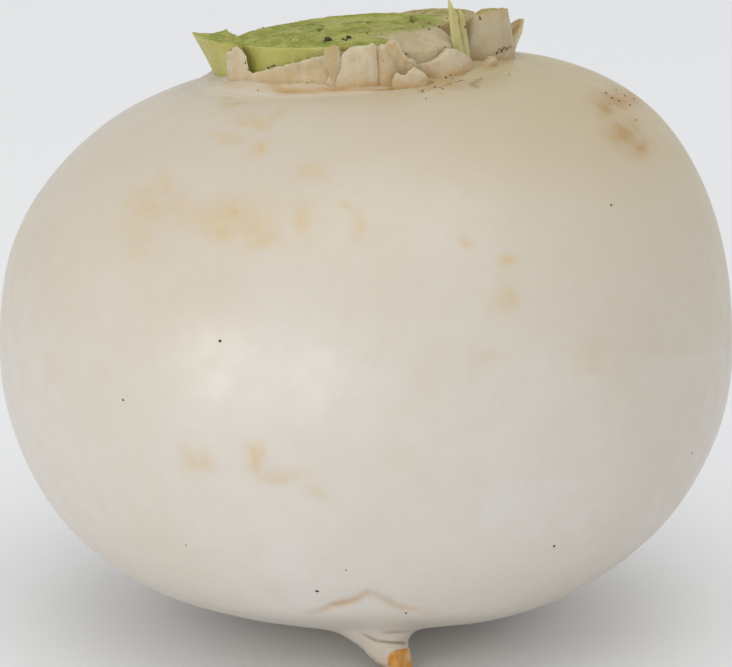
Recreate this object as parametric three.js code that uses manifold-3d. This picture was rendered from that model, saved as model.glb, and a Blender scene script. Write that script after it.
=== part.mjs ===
// A white globe turnip as sold: the root is whole, its leaves are cut off a few millimetres above
// the crown and its tap root is cut to a stub. It leans back, and stands on a small flat spot of
// its underside and on the end of the tap root. Millimetres, +Z up, the front is towards -Y.
import * as THREE from "three";
import { mergeVertices } from "three/addons/utils/BufferGeometryUtils.js";
import Module from "manifold-3d";

const wasm = await Module();
wasm.setup();

// The root, measured from the middle of its girth.
const GIRTH_RADIUS = 50;
const DEPTH_SHARE = 0.975; // front to back it is a little slimmer than side to side
const TOP_HEIGHT = 38.1;
const UNDER_DEPTH = 39.4;
const TOP_FULLNESS = { across: 3.05, up: 2.3 }; // exponents of the shoulder's superellipse
const UNDER_FULLNESS = { across: 2.4, up: 2.1 };
const SHOULDER_TILT = { right: 0.072, front: 0.12 }; // the right shoulder is high, the front one low
const ROUND_STEPS = 56;
const PROFILE_STEPS = 17; // from the girth to each pole

// The tap root has slid forward along the round underside.
const UNDER_CURVE_RADIUS = 79;
const TAP_FORWARD = 9; // degrees
const TAP_RADIUS = 2.7;
const TAP_LENGTH = 5.6;
const TAP_TAPER = 0.35; // share of its width lost at the cut end
const TAP_FLARE = { width: 3.4, fade: 1.5 };
const TAP_BEND = 3.4; // its end lies this far to the right
const TAP_SIDE = 1.2;

// How the turnip stands.
const LEAN_BACK = 13; // degrees
const TABLE_BELOW_MIDDLE = 40.28;

// The crown of cut leaf stalks, in a frame of its own on top of the root.
const CROWN_SIDE = -0.5;
const CROWN_HEIGHT = 37.0;
const GAP = 0.3; // clear space between neighbouring pieces
const ROOTED = 4; // a piece is drawn this far into the root before the root is cut out of it
const KNIFE_CUT = { height: 6.1, right: 0.03, back: -0.045 }; // one stroke cut most of the stalks
const CORNER_DROP = { cut: 0.06, torn: 0.25 }; // share of its height that an edge loses at its corners
const LOWEST_EDGE = 0.5;

const { degToRad, smoothstep, lerp } = THREE.MathUtils;

// A closed three.js geometry as a solid that can be cut, and back again.
function solidFrom(geometry) {
  const bare = geometry.clone();
  bare.deleteAttribute("normal");
  bare.deleteAttribute("uv");
  const merged = mergeVertices(bare, 1e-4);
  const mesh = new wasm.Mesh({
    numProp: 3,
    vertProperties: merged.attributes.position.array,
    triVerts: new Uint32Array(merged.index.array),
  });
  return new wasm.Manifold(mesh);
}

function geometryFrom(solid) {
  const mesh = solid.getMesh();
  const geometry = new THREE.BufferGeometry();
  geometry.setAttribute("position", new THREE.BufferAttribute(mesh.vertProperties, 3));
  geometry.setIndex(new THREE.BufferAttribute(mesh.triVerts, 1));
  geometry.computeVertexNormals();
  return geometry;
}

function moveVertices(geometry, move) {
  const position = geometry.attributes.position;
  const point = new THREE.Vector3();
  for (let i = 0; i < position.count; i++) {
    point.fromBufferAttribute(position, i);
    move(point);
    position.setXYZ(i, point.x, point.y, point.z);
  }
  return geometry;
}

// One quarter of the root's outline: distance from the axis and height at a turn from the pole.
function quarterPoint(turn, radius, height, fullness) {
  const across = radius * Math.sin(turn) ** (2 / fullness.across);
  return new THREE.Vector2(across, height * Math.cos(turn) ** (2 / fullness.up));
}

// Half outline of the root, worked out from its top down and given from the tap root up.
function rootOutline(grow) {
  const radius = GIRTH_RADIUS + grow;
  const under = UNDER_DEPTH + grow;
  const points = [new THREE.Vector2(0, TOP_HEIGHT + grow)];
  for (let step = 1; step < PROFILE_STEPS; step++) {
    const turn = (step / PROFILE_STEPS) * (Math.PI / 2);
    points.push(quarterPoint(turn, radius, TOP_HEIGHT + grow, TOP_FULLNESS));
  }
  points.push(new THREE.Vector2(radius, 0));
  for (let step = PROFILE_STEPS - 1; step > 1; step--) {
    const turn = (step / PROFILE_STEPS) * (Math.PI / 2);
    const point = quarterPoint(turn, radius, under, UNDER_FULLNESS);
    if (point.x > TAP_RADIUS + 2.2 * TAP_FLARE.width) points.push(new THREE.Vector2(point.x, -point.y));
  }
  for (const out of [0.1, 0.7, 1.5, 2.6, 4.2, TAP_LENGTH]) {
    const flare = TAP_FLARE.width * Math.exp(-out / TAP_FLARE.fade);
    const taper = 1 - TAP_TAPER * (out / TAP_LENGTH) ** 4;
    points.push(new THREE.Vector2((TAP_RADIUS + flare) * taper + grow, -under - out));
  }
  points.push(new THREE.Vector2(0, -under - TAP_LENGTH));
  return points.reverse();
}

// Takes a point of the plain turned shape to its place on the uneven root.
function growUneven(point) {
  const turn = Math.atan2(point.y, point.x);
  const level = point.z / TOP_HEIGHT;
  const waves = 0.006 * Math.cos(3 * turn + 1) + 0.004 * Math.cos(5 * turn - 0.6);
  const lobes = 1 + Math.max(0, 1 - level * level) * waves;
  point.x *= lobes;
  point.y *= lobes * DEPTH_SHARE;
  const shoulder = smoothstep(point.z, 0, TOP_HEIGHT * 0.9);
  point.z += shoulder * (SHOULDER_TILT.right * point.x + SHOULDER_TILT.front * point.y);
  slideTapRoot(point);
}

// Turns the middle of the underside about its own centre of curvature, which carries the tap root.
function slideTapRoot(point) {
  const centre = UNDER_CURVE_RADIUS - UNDER_DEPTH;
  const down = centre - point.z;
  if (down < UNDER_CURVE_RADIUS * 0.6) return;
  const fromPole = Math.atan2(Math.hypot(point.x, point.y), down);
  const share = 1 - smoothstep(fromPole, degToRad(7), degToRad(26));
  const turn = degToRad(TAP_FORWARD) * share;
  const y = point.y * Math.cos(turn) - down * Math.sin(turn);
  point.z = centre - (down * Math.cos(turn) + point.y * Math.sin(turn));
  point.y = y;
  const out = Math.max(0, down - UNDER_CURVE_RADIUS + 0.6) / TAP_LENGTH;
  point.x += TAP_SIDE * share + TAP_BEND * out ** 1.3;
}

function turnedRoot(grow) {
  const turned = new THREE.LatheGeometry(rootOutline(grow), ROUND_STEPS);
  turned.rotateX(Math.PI / 2);
  return solidFrom(moveVertices(turned, growUneven));
}

// The root with the small flat spot that it stands on.
function root() {
  const up = new THREE.Vector3(0, -Math.sin(degToRad(LEAN_BACK)), Math.cos(degToRad(LEAN_BACK)));
  return turnedRoot(0).trimByPlane(up.toArray(), -TABLE_BELOW_MIDDLE);
}

// Torn edges wander by a few tenths of a millimetre.
function torn(across, seed) {
  return 0.5 * Math.sin(7 * across + seed) + 0.3 * Math.sin(15 * across + 2.3 * seed);
}

function knifeHeight(right, back) {
  return KNIFE_CUT.height + KNIFE_CUT.right * right + KNIFE_CUT.back * back;
}

// A leaf base, cut or torn off: a crescent in plan, whose hollow side faces the crown's middle.
// at: direction in degrees, 0 right and -90 front; out: distance of its foot from the middle;
// bend: radius of the crescent; thin: thickness left at its edges; slant: rise of the top towards
// the edge on the clockwise side; dish: hollow of the cut; lean and sweep: how far the top lies
// outwards and sideways; narrow: width left at the top. A stalk has no height tall of its own: the
// knife cut it, and over is how far it stands over that cut.
function leafBase(shape, grow) {
  const { at, out, width, thick, bend = out, thin = 0.6, over = 0 } = shape;
  const { slant = 0, jag = 0, seed = 1, dish = 0, steps = 10, rings = 3 } = shape;
  const { lean = 0, curl = 1.2, sweep = 0, narrow = 1 } = shape;
  const direction = degToRad(at);
  const { tall = knifeHeight(Math.cos(direction) * out, Math.sin(direction) * out) + over } = shape;
  const drop = dish > 0 ? CORNER_DROP.cut : CORNER_DROP.torn;
  const block = new THREE.BoxGeometry(2, 2, 1, steps, dish > 0 ? 2 : 1, rings);
  return moveVertices(block, (point) => {
    const across = point.x;
    const depth = point.y;
    const rim = tall + slant * across + jag * torn(across, seed);
    const top = rim * (1 - drop * Math.abs(across) ** 3) - dish * (1 - depth * depth);
    const up = lerp(-ROOTED, Math.max(top, LOWEST_EDGE) + grow, point.z + 0.5);
    const lift = Math.max(0, up) / tall;
    const halfWidth = (width / 2) * lerp(1, narrow, Math.min(1, lift)) + grow;
    const halfThick = (thick / 2) * (thin + (1 - thin) * Math.sqrt(Math.max(0, 1 - across ** 2)));
    const turn = (across * halfWidth) / bend;
    const radius = bend + depth * (halfThick + grow);
    const side = radius * Math.sin(turn) + sweep * lift;
    const outward = radius * Math.cos(turn) - bend + out + lean * lift ** curl;
    point.x = outward * Math.cos(direction) + side * Math.sin(direction);
    point.y = outward * Math.sin(direction) - side * Math.cos(direction);
    point.z = up;
  });
}

// The cut top of the short stem that all the leaves grow from.
function stemTop(shape, grow) {
  const outline = [];
  outline.push(new THREE.Vector2(0, shape.tall - 0.6 + grow));
  outline.push(new THREE.Vector2(shape.radius * 0.55, shape.tall - 0.3 + grow));
  outline.push(new THREE.Vector2(shape.radius * 0.9 + grow, shape.tall + grow));
  outline.push(new THREE.Vector2(shape.radius + grow, shape.tall - 0.7));
  outline.push(new THREE.Vector2(shape.radius + grow, -ROOTED));
  outline.push(new THREE.Vector2(0, -ROOTED));
  const turned = new THREE.LatheGeometry(outline.reverse(), 24);
  turned.rotateX(Math.PI / 2);
  return moveVertices(turned, (point) => {
    const turn = Math.atan2(point.y, point.x);
    const lobes = 1 + 0.1 * Math.cos(3 * turn + 0.5) + 0.06 * Math.cos(5 * turn);
    point.x = point.x * lobes + shape.x;
    point.y = point.y * lobes + shape.y;
  });
}

// Torn cream leaf bases around the foot of the crown, those in front first.
const SCALES = {
  scale_curled: {
    at: -70, out: 20.9, width: 6.0, thick: 1.6, tall: 2.8, bend: 6, jag: 0.5, seed: 4,
    lean: 0.6,
  },
  scale_left: {
    at: -147, out: 20.1, width: 5.8, thick: 1.4, tall: 5.6, bend: 6, jag: 0.3, narrow: 0.5,
    lean: 0.3,
  },
  scale_white: {
    at: -93, out: 20.0, width: 7.2, thick: 1.3, tall: 5.5, bend: 12, jag: 0.4, seed: 2,
    slant: -0.3,
  },
  scale_long: {
    at: -121.5, out: 19.8, width: 14.0, thick: 1.2, tall: 2.9, jag: 0.15, slant: -1.7,
    steps: 12,
  },
  scale_tan: {
    at: -79, out: 19.2, width: 4.4, thick: 1.4, tall: 6.0, bend: 7, jag: 0.4, seed: 5,
    narrow: 0.8,
  },
  scale_peach: {
    at: -70, out: 18.6, width: 5.0, thick: 1.4, tall: 5.6, bend: 5, jag: 0.6, narrow: 0.6,
    lean: 1.4,
  },
  scale_domed: {
    at: -47, out: 19.2, width: 8.6, thick: 2.4, tall: 4.3, bend: 7, thin: 0.4,
    narrow: 0.55,
  },
  scale_small: {
    at: -27, out: 19.8, width: 3.4, thick: 1.8, tall: 1.9, bend: 4, narrow: 0.6, steps: 6,
  },
  scale_back_right: {
    at: 34, out: 19.9, width: 9.0, thick: 1.3, tall: 4.2, bend: 14, jag: 0.6, slant: 0.8,
  },
  scale_back: {
    at: 78, out: 20.1, width: 8.0, thick: 1.3, tall: 3.0, bend: 10, jag: 0.5, seed: 3,
    lean: 0.6,
  },
  scale_back_left: {
    at: 121, out: 19.9, width: 11.0, thick: 1.3, tall: 3.8, bend: 16, jag: 0.5,
    slant: -1.1,
  },
  scale_far_left: {
    at: 163, out: 20.0, width: 6.0, thick: 1.3, tall: 3.0, bend: 8, jag: 0.5, seed: 6,
  },
};

// Cut leaf stalks in the green part of the crown.
const GREEN_STALKS = {
  stalk_left: {
    at: -172, out: 17.4, width: 15.0, thick: 4.6, over: 1.1, bend: 10, thin: 0.4,
    lean: 2.7, dish: 0.4,
  },
  stalk_front: {
    at: -113, out: 14.6, width: 25.0, thick: 8.0, bend: 14.6, thin: 0.5, dish: 0.4,
    over: 0.1, steps: 16,
  },
  stalk_back_left: {
    at: 144, out: 14.8, width: 20.0, thick: 6.8, bend: 13, thin: 0.4, dish: 0.6,
    over: -0.5, slant: 0.5,
  },
  stalk_back: {
    at: 93, out: 15.0, width: 17.0, thick: 7.0, bend: 12, thin: 0.4, dish: 0.6, over: -0.2,
  },
  stalk_inner_left: { at: 176, out: 9.0, width: 17.0, thick: 6.4, bend: 9, thin: 0.45, dish: 0.4 },
  stalk_inner_back: { at: 74, out: 8.4, width: 16.0, thick: 6.0, bend: 9, thin: 0.45, dish: 0.4 },
};

// Cut leaf stalks in the pale and tan part on the right.
const PALE_STALKS = {
  stalk_right: {
    at: -12, out: 18.0, width: 9.4, thick: 4.0, over: 1.3, bend: 6, thin: 0.5, dish: 0.4,
    narrow: 0.7,
  },
  stalk_far_right: {
    at: 5, out: 19.7, width: 6.6, thick: 1.6, tall: 4.6, bend: 4.5, lean: 2.7, curl: 1.8,
    jag: 0.4,
  },
  stalk_round: {
    at: -60, out: 14.4, width: 13.0, thick: 8.0, bend: 8.5, thin: 0.35, dish: 0.4,
    narrow: 0.85,
  },
  stalk_back_right: {
    at: 43, out: 15.2, width: 15.5, thick: 6.4, bend: 11, thin: 0.4, dish: 0.6, over: 0.2,
  },
  stalk_inner_right: { at: 2, out: 11.4, width: 13.0, thick: 5.4, bend: 10, thin: 0.4, dish: 0.4 },
  stalk_inner_front: { at: -62, out: 6.6, width: 12.0, thick: 5.0, bend: 9, thin: 0.4, dish: 0.4 },
};

// Slivers of young leaves that stand up between the stalks.
const YOUNG_LEAVES = {
  young_leaf_long: {
    at: -39, out: 17.6, width: 3.0, thick: 1.0, tall: 10.2, bend: 3, narrow: 0.3,
    sweep: 1.3, steps: 4,
  },
  young_leaf_short: {
    at: -31, out: 17.0, width: 2.2, thick: 0.9, tall: 8.6, bend: 3, narrow: 0.35,
    sweep: 0.8, steps: 4,
  },
};

const STEM = { stem_top: { x: 0.5, y: 0, radius: 6.2, tall: 5.8 } };

// The look of each kind of piece.
function finish(color, roughness) {
  return new THREE.MeshStandardMaterial({ color, roughness, metalness: 0 });
}
const rootSkin = () => finish(0xe2d9c8, 0.42);
const creamScale = () => finish(0xe6d9bd, 0.6);
const greenStalk = () => finish(0xa9b45c, 0.5);
const paleStalk = () => finish(0xcdbf92, 0.55);
const youngLeaf = () => finish(0xc9cf80, 0.45);

const turnip = new THREE.Group();

function addPiece(name, solid, material) {
  const mesh = new THREE.Mesh(geometryFrom(solid), material);
  mesh.name = name;
  turnip.add(mesh);
}

// Sets the pieces of the crown on the root one after another. Each one is cut back to leave the gap
// to the root and to those before it, and only its largest part is kept.
const crownFrame = new THREE.Matrix4().makeRotationFromEuler(
  new THREE.Euler(Math.atan(SHOULDER_TILT.front), -Math.atan(SHOULDER_TILT.right), 0),
);
crownFrame.setPosition(CROWN_SIDE, 0, CROWN_HEIGHT);
let taken = turnedRoot(GAP);

function addToCrown(shapes, build, material) {
  for (const [name, shape] of Object.entries(shapes)) {
    const whole = solidFrom(build(shape, 0).applyMatrix4(crownFrame));
    const parts = whole.subtract(taken).decompose();
    parts.sort((a, b) => b.volume() - a.volume());
    addPiece(name, parts[0], material());
    taken = taken.add(solidFrom(build(shape, GAP).applyMatrix4(crownFrame)));
  }
}

addPiece("root", root(), rootSkin());
addToCrown(YOUNG_LEAVES, leafBase, youngLeaf);
addToCrown(SCALES, leafBase, creamScale);
addToCrown(PALE_STALKS, leafBase, paleStalk);
addToCrown(GREEN_STALKS, leafBase, greenStalk);
addToCrown(STEM, stemTop, greenStalk);

// Stands the turnip on the table, with the origin under the middle of its box.
turnip.rotation.x = -degToRad(LEAN_BACK);
const stand = new THREE.Group();
stand.add(turnip);
const box = new THREE.Box3().setFromObject(stand, true);
turnip.position.set(-(box.min.x + box.max.x) / 2, -(box.min.y + box.max.y) / 2, -box.min.z);

export default stand;
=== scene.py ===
# %% [markdown]
# This lesson dresses a white globe turnip. The solid model from CAD comes first and stays fixed: its
# sizes and places are the truth, and every fine piece below is drawn around it in metres.

# %% Load the solid model
import math
import random

import bmesh
import bpy
from mathutils import Matrix, Vector, noise


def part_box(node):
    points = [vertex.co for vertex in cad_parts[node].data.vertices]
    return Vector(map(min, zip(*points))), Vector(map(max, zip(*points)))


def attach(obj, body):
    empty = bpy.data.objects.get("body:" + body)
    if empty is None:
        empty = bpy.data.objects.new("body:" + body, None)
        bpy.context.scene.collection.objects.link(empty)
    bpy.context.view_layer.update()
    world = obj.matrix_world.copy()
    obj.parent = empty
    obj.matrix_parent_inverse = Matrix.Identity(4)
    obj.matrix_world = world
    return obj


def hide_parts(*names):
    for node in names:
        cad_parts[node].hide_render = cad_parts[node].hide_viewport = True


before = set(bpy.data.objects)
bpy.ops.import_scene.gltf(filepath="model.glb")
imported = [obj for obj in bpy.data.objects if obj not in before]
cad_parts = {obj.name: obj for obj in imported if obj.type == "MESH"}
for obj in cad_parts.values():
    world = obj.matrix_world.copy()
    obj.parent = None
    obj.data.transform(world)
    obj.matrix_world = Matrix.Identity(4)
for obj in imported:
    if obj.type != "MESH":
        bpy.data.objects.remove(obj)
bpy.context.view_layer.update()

MM = 0.001

# %% [markdown]
# A turnip leans back when it is put down on its tap root. Everything is drawn first in the turnip's
# own frame, in millimetres with its axis upright, and two matrices carry it to the table. The crown
# of cut leaf stalks has a frame of its own, tipped with the shoulders of the root.

# %% The turnip's frames
LEAN_BACK = math.radians(13)
TABLE_BELOW_MIDDLE = 40.28
SHOULDER_RIGHT = 0.072
SHOULDER_FRONT = 0.12
CROWN_PLACE = Vector((-0.5, 0, 37.0))

on_table = Matrix.Scale(MM, 4) @ Matrix.Translation((0, 0, TABLE_BELOW_MIDDLE))
on_table = on_table @ Matrix.Rotation(-LEAN_BACK, 4, "X")
tip_front = Matrix.Rotation(math.atan(SHOULDER_FRONT), 4, "X")
tip_right = Matrix.Rotation(-math.atan(SHOULDER_RIGHT), 4, "Y")
crown_frame = Matrix.Translation(CROWN_PLACE) @ tip_front @ tip_right
print("the crown's middle is", round((on_table @ CROWN_PLACE).z / MM, 1), "mm above the table")

# %% [markdown]
# The camera looks along the photograph's line of sight: four degrees above a square view of the
# turnip's axis. A long lens from 70 cm flattens it as in the picture. The same numbers turn a point
# of the model into a pixel of the 732 by 667 photograph, which later places blemishes.

# %% Camera at the photograph's angle
PHOTO_WIDTH = 732
PHOTO_HEIGHT = 667
PIXELS_PER_MM = 7.29
CAMERA_DISTANCE = 0.700
ABOVE_SQUARE = math.radians(4)
CAMERA_RISE = LEAN_BACK + ABOVE_SQUARE
AIM_PIXEL = Vector((366.5, 343.0))   # where the middle of the root lies in the photograph
SENSOR = 36.0

root_low, root_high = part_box("root")
aim = (root_low + root_high) / 2
to_camera = Vector((0, -math.cos(CAMERA_RISE), math.sin(CAMERA_RISE)))
camera_right = Vector((1, 0, 0))
camera_up = to_camera.cross(camera_right)
off_centre = Vector((PHOTO_WIDTH / 2, PHOTO_HEIGHT / 2)) - AIM_PIXEL
eye = aim + to_camera * CAMERA_DISTANCE
eye += (camera_right * off_centre.x - camera_up * off_centre.y) * (MM / PIXELS_PER_MM)

camera_data = bpy.data.cameras.new("camera")
camera_data.sensor_width = SENSOR
camera_data.lens = PIXELS_PER_MM * (CAMERA_DISTANCE / MM) / PHOTO_WIDTH * SENSOR
camera = bpy.data.objects.new("camera", camera_data)
camera.matrix_world = Matrix.Translation(eye) @ Matrix((
    (camera_right.x, camera_up.x, to_camera.x),
    (camera_right.y, camera_up.y, to_camera.y),
    (camera_right.z, camera_up.z, to_camera.z))).to_4x4()
bpy.context.scene.collection.objects.link(camera)
bpy.context.scene.camera = camera


def photo_pixel(point):
    """The pixel of the photograph where a point of the model, in metres, is seen."""
    seen = point - eye
    share = PIXELS_PER_MM / MM * CAMERA_DISTANCE / -seen.dot(to_camera)
    return Vector((PHOTO_WIDTH / 2 + share * seen.dot(camera_right),
                   PHOTO_HEIGHT / 2 - share * seen.dot(camera_up)))


print("lens", round(camera_data.lens), "mm, the root's middle is seen at", photo_pixel(aim)[:])

# %% [markdown]
# A pale table, and soft light from three round area lights. Two stand low on the left near the camera:
# each gives the root one broad shine, and the right side falls off. The third is wide and hangs
# overhead. A sun lamp would need less thought, but its shadows and shines are hard.

# %% Table and light
TABLE_SIZE = 6.0
TABLE_COLOUR = (0.9, 0.9, 0.895, 1)
TABLE_ROUGHNESS = 0.75
SKY_COLOUR = (0.95, 0.97, 1.0, 1)
SKY_STRENGTH = 0.72
# Each light: degrees round from the camera (right is +), degrees up, metres away, metres across,
# watts, colour.
LIGHTS = {
    "key": (-40, 4, 1.1, 0.26, 1.9, (1.0, 0.985, 0.96)),
    "front": (-13, 6, 1.2, 0.3, 1.5, (1, 1, 1)),
    "top": (10, 78, 1.4, 1.4, 5.0, (1, 1, 1)),
}


def object_from(bm, name):
    """A new object whose mesh is made from the bmesh, which is used up."""
    mesh = bpy.data.meshes.new(name)
    bm.to_mesh(mesh)
    bm.free()
    obj = bpy.data.objects.new(name, mesh)
    bpy.context.scene.collection.objects.link(obj)
    return obj


def add_stage_floor():
    bm = bmesh.new()
    bmesh.ops.create_grid(bm, x_segments=1, y_segments=1, size=TABLE_SIZE / 2)
    floor = object_from(bm, "floor")
    material = bpy.data.materials.new("pale_floor")
    material.use_nodes = True
    shader = material.node_tree.nodes["Principled BSDF"]
    shader.inputs["Base Color"].default_value = TABLE_COLOUR
    shader.inputs["Roughness"].default_value = TABLE_ROUGHNESS
    floor.data.materials.append(material)


def add_soft_light(name, azimuth, height, distance, size, power, color):
    """A round area light that looks at the turnip."""
    data = bpy.data.lights.new(name, "AREA")
    data.shape = "DISK"
    data.size = size
    data.energy = power
    data.color = color
    light = bpy.data.objects.new(name, data)
    turn = math.radians(azimuth)
    rise = math.radians(height)
    away = Vector((math.sin(turn) * math.cos(rise), -math.cos(turn) * math.cos(rise), math.sin(rise)))
    facing = away.to_track_quat("Z", "Y").to_matrix().to_4x4()
    light.matrix_world = Matrix.Translation(aim + away * distance) @ facing
    bpy.context.scene.collection.objects.link(light)


add_stage_floor()
for name, numbers in LIGHTS.items():
    add_soft_light(name, *numbers)
world = bpy.data.worlds.new("studio")
world.use_nodes = True
world.node_tree.nodes["Background"].inputs["Color"].default_value = SKY_COLOUR
world.node_tree.nodes["Background"].inputs["Strength"].default_value = SKY_STRENGTH
bpy.context.scene.world = world
bpy.context.scene.view_settings.view_transform = "Standard"

# %% [markdown]
# Every finished piece goes the same way: doubled points are merged, its faces are turned outwards
# and shaded smooth but for sharp edges, it gets its materials, it is hung on the body that carries
# it, and the solid that it stands for is hidden. One helper does that; the piece's points already
# hold its place.

# %% Hand a piece over
SHARP_ANGLE = math.radians(38)
SAME_PLACE = 1e-7              # points closer than this, in metres, are merged


def finish_piece(bm, name, node, materials):
    """Makes the object from a bmesh in metres and hangs it on the root's body."""
    bmesh.ops.remove_doubles(bm, verts=bm.verts, dist=SAME_PLACE)
    bmesh.ops.recalc_face_normals(bm, faces=bm.faces)
    for face in bm.faces:
        face.smooth = True
    for edge in bm.edges:
        if len(edge.link_faces) == 2 and edge.calc_face_angle(0) > SHARP_ANGLE:
            edge.smooth = False
    piece = object_from(bm, name)
    for material in materials:
        piece.data.materials.append(material)
    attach(piece, "root")
    if node:
        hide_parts(node)
    return piece


print("edges sharper than", round(math.degrees(SHARP_ANGLE)), "degrees are shaded sharp")

# %% [markdown]
# Node materials made by script soon fill pages. A small class keeps them readable: it holds one
# material, and each of its methods adds one kind of node and gives back the socket that comes out.

# %% A helper for materials
FLESH_REACH = (1.0, 0.62, 0.4)     # red light goes further into flesh than green and blue


class Finish:
    """A material with its node tree, and short ways to add the nodes that this lesson uses."""

    def __init__(self, name, roughness, subsurface=0.0, reach=0.001):
        self.material = bpy.data.materials.new(name)
        self.material.use_nodes = True
        self.tree = self.material.node_tree
        self.shader = self.tree.nodes["Principled BSDF"]
        self.shader.inputs["Roughness"].default_value = roughness
        self.shader.inputs["Subsurface Weight"].default_value = subsurface
        self.shader.inputs["Subsurface Radius"].default_value = FLESH_REACH
        self.shader.inputs["Subsurface Scale"].default_value = reach

    def add(self, kind, values=None, **settings):
        node = self.tree.nodes.new(kind)
        for key, value in settings.items():
            setattr(node, key, value)
        for key, value in (values or {}).items():
            self.feed(node.inputs[key], value)
        return node

    def feed(self, socket, value):
        if isinstance(value, bpy.types.NodeSocket):
            self.tree.links.new(value, socket)
        else:
            socket.default_value = value

    def attribute(self, name, share=None):
        """An attribute of the mesh, or a share of it."""
        whole = self.add("ShaderNodeAttribute", attribute_name=name).outputs["Fac"]
        return whole if share is None else self.math("MULTIPLY", whole, share)

    def place(self, scale=(1, 1, 1), source=None):
        """Object coordinates, or another vector, stretched."""
        if source is None:
            source = self.add("ShaderNodeTexCoord").outputs["Object"]
        return self.add("ShaderNodeMapping", {"Vector": source, "Scale": scale}).outputs["Vector"]

    def noise(self, scale, detail=3.0, rough=0.5, vector=None):
        values = {"Scale": scale, "Detail": detail, "Roughness": rough, "Vector": vector or self.place()}
        return self.add("ShaderNodeTexNoise", values).outputs["Fac"]

    def levels(self, value, low, high, out_low=0.0, out_high=1.0):
        values = {"Value": value, "From Min": low, "From Max": high, "To Min": out_low, "To Max": out_high}
        return self.add("ShaderNodeMapRange", values).outputs["Result"]

    def math(self, operation, first, second):
        return self.add("ShaderNodeMath", {0: first, 1: second}, operation=operation).outputs[0]

    def mix(self, share, first, second):
        node = self.add("ShaderNodeMix", data_type="RGBA")
        for socket, value in ((0, share), (6, first), (7, second)):
            self.feed(node.inputs[socket], value)
        return node.outputs[2]

    def bump(self, height, distance, strength, under=None):
        values = {"Height": height, "Distance": distance, "Strength": strength}
        if under is not None:
            values["Normal"] = under
        return self.add("ShaderNodeBump", values).outputs["Normal"]

    def set(self, **sockets):
        """Links the shader's sockets: Base_Color, Roughness, Normal."""
        for name, socket in sockets.items():
            self.feed(self.shader.inputs[name.replace("_", " ")], socket)


STUDIO_SHARE = 0.88       # the studio light is this much stronger than the photograph's
DISPLAY_GAMMA = 2.2


def rgb(red, green, blue):
    """A colour as the photograph shows it, 0 to 255, as the linear colour that a shader takes."""
    return tuple(STUDIO_SHARE * (c / 255) ** DISPLAY_GAMMA for c in (red, green, blue)) + (1.0,)


print("cream-white in linear values:", [round(c, 3) for c in rgb(222, 216, 204)])

# %% [markdown]
# The root is a body of revolution before it is anything else. One half outline, two superellipse
# quarters and the flared stub of the tap root, is spun round the axis. Then every point is moved to
# its place on the grown root: shoulders tipped, girth slightly lobed, tap root slid to the front.
# A sculpted sphere could look the same, but the spun outline keeps the solid's measures exactly.

# %% The root's outline
GIRTH_RADIUS = 50.0
DEPTH_SHARE = 0.975
TOP_HEIGHT = 38.1
UNDER_DEPTH = 39.4
TOP_FULLNESS = (3.05, 2.3)
UNDER_FULLNESS = (2.4, 2.1)
TAP_RADIUS = 2.7
TAP_LENGTH = 5.6
TAP_TAPER = 0.35
TAP_FLARE = 3.4
TAP_FLARE_FADE = 1.5
FLARE_REACH = 2.2            # flares past the tap's radius at which the underside's curve ends
TAP_START = 0.1
QUARTER_STEPS = 92
FIRST_STEP = 4               # the steps next to the pole are left out
TAP_STEPS = 34
BRIDGE_STEPS = 8
END_STEPS = 6
SOFT_STEPS = 12
ROUND_STEPS = 330
CROWN_RINGS = (11, 21)       # quarter steps that are cut finer, under the foot of the crown
RINGS_A_STEP = 5


def quarter_point(step, height, fullness):
    turn = min(1.0, step / QUARTER_STEPS) * math.pi / 2
    across = GIRTH_RADIUS * math.sin(turn) ** (2 / fullness[0])
    return Vector((across, 0, height * max(0.0, math.cos(turn)) ** (2 / fullness[1])))


def tap_outline():
    points = []
    for step in range(TAP_STEPS + 1):
        out = TAP_START + (TAP_LENGTH - TAP_START) * step / TAP_STEPS
        taper = 1 - TAP_TAPER * (out / TAP_LENGTH) ** 4
        flare = TAP_FLARE * math.exp(-out / TAP_FLARE_FADE)
        points.append(Vector(((TAP_RADIUS + flare) * taper, 0, -UNDER_DEPTH - out)))
    return points


def root_outline():
    """Half outline from the top of the root to the end of the tap root."""
    points = [Vector((0, 0, TOP_HEIGHT))]
    for step in range(FIRST_STEP, QUARTER_STEPS + 1):
        rings = RINGS_A_STEP if CROWN_RINGS[0] <= step < CROWN_RINGS[1] else 1
        points += [quarter_point(step + ring / rings, TOP_HEIGHT, TOP_FULLNESS) for ring in range(rings)]
    for step in range(QUARTER_STEPS - 1, 1, -1):
        point = quarter_point(step, UNDER_DEPTH, UNDER_FULLNESS)
        if point.x > TAP_RADIUS + FLARE_REACH * TAP_FLARE:
            points.append(Vector((point.x, 0, -point.z)))
    tap = tap_outline()
    points += [points[-1].lerp(tap[0], share / BRIDGE_STEPS) for share in range(1, BRIDGE_STEPS)]
    points += tap
    for step in range(1, END_STEPS + 1):
        points.append(Vector((tap[-1].x * (1 - step / END_STEPS), 0, -UNDER_DEPTH - TAP_LENGTH)))
    end = len(points) - END_STEPS
    return soften(points, end - TAP_STEPS - SOFT_STEPS, end)


def soften(points, first, last, rounds=6):
    """Rounds the stretch of an outline where two formulas meet."""
    for _ in range(rounds):
        middle = [points[i].lerp((points[i - 1] + points[i + 1]) / 2, 0.5) for i in range(first, last)]
        points[first:last] = middle
    return points


outline = root_outline()
print("outline points:", len(outline), "widest:", round(max(p.x for p in outline), 2), "mm")

# %% [markdown]
# smoothstep eases the moves in and out, so that no kink shows where they begin. The same shoulder
# tilt and the same slide of the tap root were used for the solid.

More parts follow.
